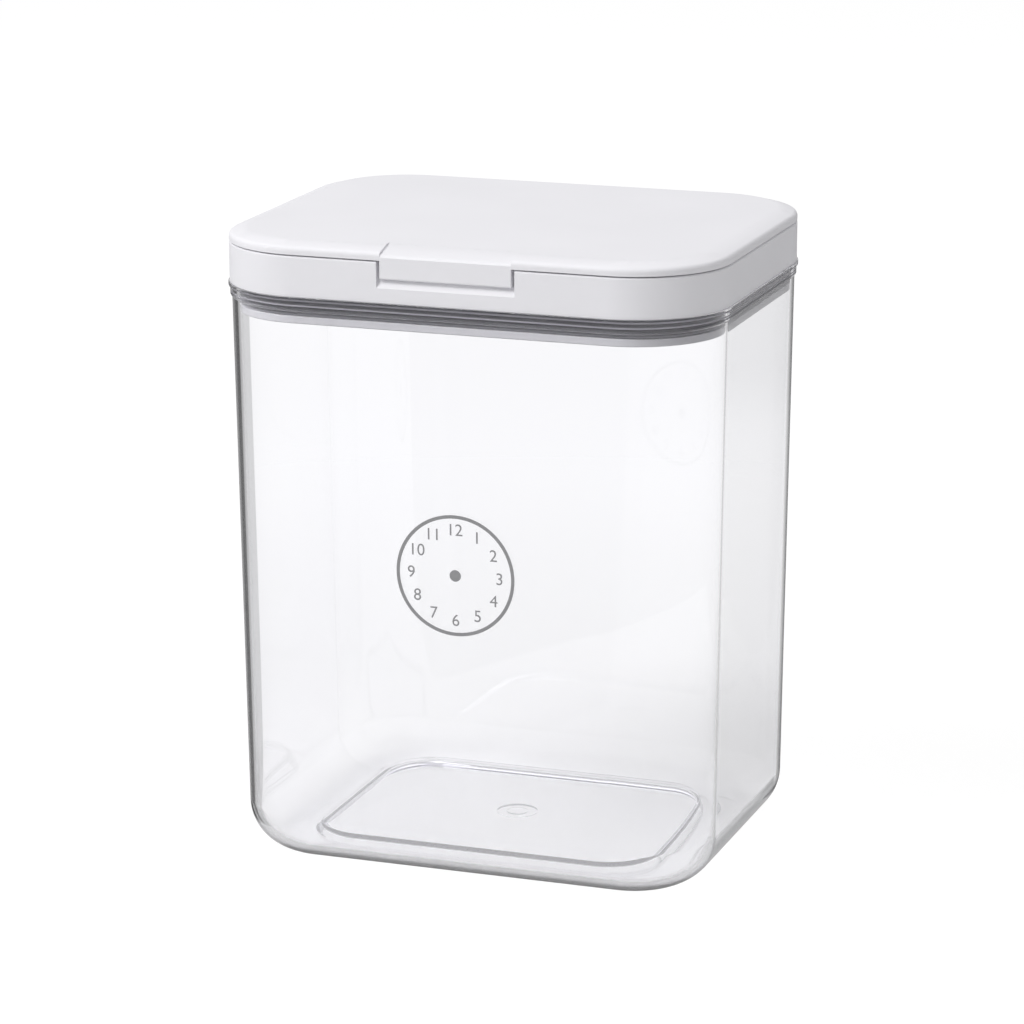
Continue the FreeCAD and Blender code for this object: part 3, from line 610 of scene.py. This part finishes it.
def studio_floor():
    """Floor that lights the pieces as plain white, and glows for rays that see it, with painted flags,
    band, shade and dim reflections.
    """
    bm = bmesh.new()
    bmesh.ops.create_circle(bm, segments=CIRCLE_STEPS, radius=FLOOR_RADIUS, cap_ends=True,
                            matrix=Matrix.Translation((0, 0, -FOOT_AIR)))
    ground = new_object("floor", bm)
    material = bpy.data.materials.new("studio_floor")
    material.use_nodes = True
    tree = material.node_tree
    tree.nodes.clear()
    path, seen, guided = stage_rays(tree)
    place = add_node(tree, "ShaderNodeTexCoord").outputs["Object"]
    through = at_least(tree, path.outputs["Transmission Depth"], 1)
    level = product(tree, ray_level(tree, path), flag_level(tree, place, through, guided))
    # Painted dim reflection: mirror rays see the floor dimmer
    mirror = math_node(tree, "GREATER_THAN", path.outputs["Is Glossy Ray"], through)
    mirror_far = far_mask(tree, place, MIRROR_NEAR_END, MIRROR_FAR_START)
    mirrored = between(tree, mirror_far, MIRROR_NEAR, MIRROR_FAR)
    level = product(tree, level, between(tree, mirror, 1.0, mirrored))
    # Rays led round inside one wall and mirror rays see painted shade close to the foot
    low = math_node(tree, "MAXIMUM", guided, mirror)
    level = product(tree, level, between(tree, low, 1.0, contact_level(tree, place)))
    far = far_mask(tree, place, NEAR_END, FAR_START)
    plain = add_node(tree, "ShaderNodeBsdfDiffuse")
    plain.inputs["Color"].default_value = (FLOOR_LIT, FLOOR_LIT, FLOOR_LIT, 1)
    faint = add_node(tree, "ShaderNodeBsdfDiffuse")
    share = between(tree, through, FLOOR_SEEN, between(tree, far, NEAR_SEEN, 0.0))
    tree.links.new(grey(tree, product(tree, level, share)), faint.inputs["Color"])
    glow = add_node(tree, "ShaderNodeEmission")
    strength = between(tree, through, FLOOR_GLOW, between(tree, far, NEAR_GLOW, FAR_GLOW))
    tree.links.new(product(tree, level, strength), glow.inputs["Strength"])
    bright = add_node(tree, "ShaderNodeAddShader")
    tree.links.new(faint.outputs[0], bright.inputs[0])
    tree.links.new(glow.outputs[0], bright.inputs[1])
    mixed_output(tree, seen, plain, bright, add_node(tree, "ShaderNodeOutputMaterial"))
    dress(ground, material)


def studio_world():
    """World that lights the pieces evenly, and is white for rays that see it, with a painted dim
    reflection overhead.
    """
    world = bpy.data.worlds.new("studio")
    bpy.context.scene.world = world
    world.use_nodes = True
    tree = world.node_tree
    tree.nodes.clear()
    path, seen, _ = stage_rays(tree)
    # Painted dim reflection: what the lid mirrors, outside the plastic, sees the world dimmer
    outside = fewer(tree, path.outputs["Transmission Depth"], 1)
    overhead = product(tree, outside, path.outputs["Is Glossy Ray"])
    level = product(tree, ray_level(tree, path), between(tree, overhead, 1.0, OVERHEAD_LEVEL))
    lit = add_node(tree, "ShaderNodeBackground")
    lit.inputs["Color"].default_value = (1, 1, 1, 1)
    lit.inputs["Strength"].default_value = WORLD_LIT
    shown = add_node(tree, "ShaderNodeBackground")
    shown.inputs["Color"].default_value = (1, 1, 1, 1)
    tree.links.new(level, shown.inputs["Strength"])
    mixed_output(tree, seen, lit, shown, add_node(tree, "ShaderNodeOutputWorld"))


def softbox(name, place, size, power):
    """Square lamp aimed at the object, unseen through the plastic."""
    light = bpy.data.lights.new(name, "AREA")
    light.shape = "RECTANGLE"
    light.size, light.size_y = size
    light.energy = power
    lamp = bpy.data.objects.new(name, light)
    lamp.location = place
    aim = Vector(LIGHT_AIM) - Vector(place)
    lamp.rotation_euler = aim.to_track_quat("-Z", "Y").to_euler()
    lamp.visible_transmission = False
    bpy.context.scene.collection.objects.link(lamp)


def camera():
    """Camera of the photograph."""
    data = bpy.data.cameras.new("camera")
    data.sensor_width = CAMERA_SENSOR
    data.lens = CAMERA_LENS
    eye = bpy.data.objects.new("camera", data)
    turn = Matrix.Rotation(math.radians(CAMERA_AZIMUTH), 4, "Z")
    lean = Matrix.Rotation(math.pi / 2 - math.radians(CAMERA_ELEVATION), 4, "X")
    roll = Matrix.Rotation(math.radians(CAMERA_ROLL), 4, "Z")
    eye.matrix_world = Matrix.Translation(CAMERA_PLACE) @ turn @ lean @ roll
    bpy.context.scene.collection.objects.link(eye)
    bpy.context.scene.camera = eye


def place_piece(piece, body, node, material):
    """Rides a piece on its body, in the stead of a solid where it has one."""
    dress(piece, material)
    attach(piece, body)
    if node:
        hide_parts(node)


bpy.context.scene.view_settings.view_transform = "Standard"
camera()
studio_floor()
studio_world()
softbox("key_light", **KEY_LIGHT)
softbox("top_light", **TOP_LIGHT)

finish = moulded_finish()
clear = clear_plastic(finish)
white = moulded_material("white_plastic", finish, **WHITE, IOR=PLASTIC_IOR)
silicone = moulded_material("grey_silicone", finish, **SILICONE, IOR=SILICONE_IOR)
ribs = ribbed_silicone(finish)
steel = moulded_material("pin_steel", finish, **STEEL, Metallic=1.0)
ink = moulded_material("grey_ink", finish, **INK)

place_piece(clear_bucket(), "bucket", "bucket", clear)
place_piece(printed_dial(), "bucket", None, ink)
place_piece(plug_skirt(), "lid", "plug_ring", white)
place_piece(ribbed_seal(), "lid", "plug_seal", ribs)
place_piece(softened("lid_frame", "white_frame"), "lid", "lid_frame", white)
place_piece(softened("flap_cover", "white_flap"), "flap", "flap_cover", white)
place_piece(softened("flap_liner", "inner_plate"), "flap", "flap_liner", white)
place_piece(mouth_seal(), "flap", "flap_seal", silicone)
for side in ("left", "right"):
    pin = softened("hinge_pin_" + side, "steel_pin_" + side)
    place_piece(pin, "lid", "hinge_pin_" + side, steel)
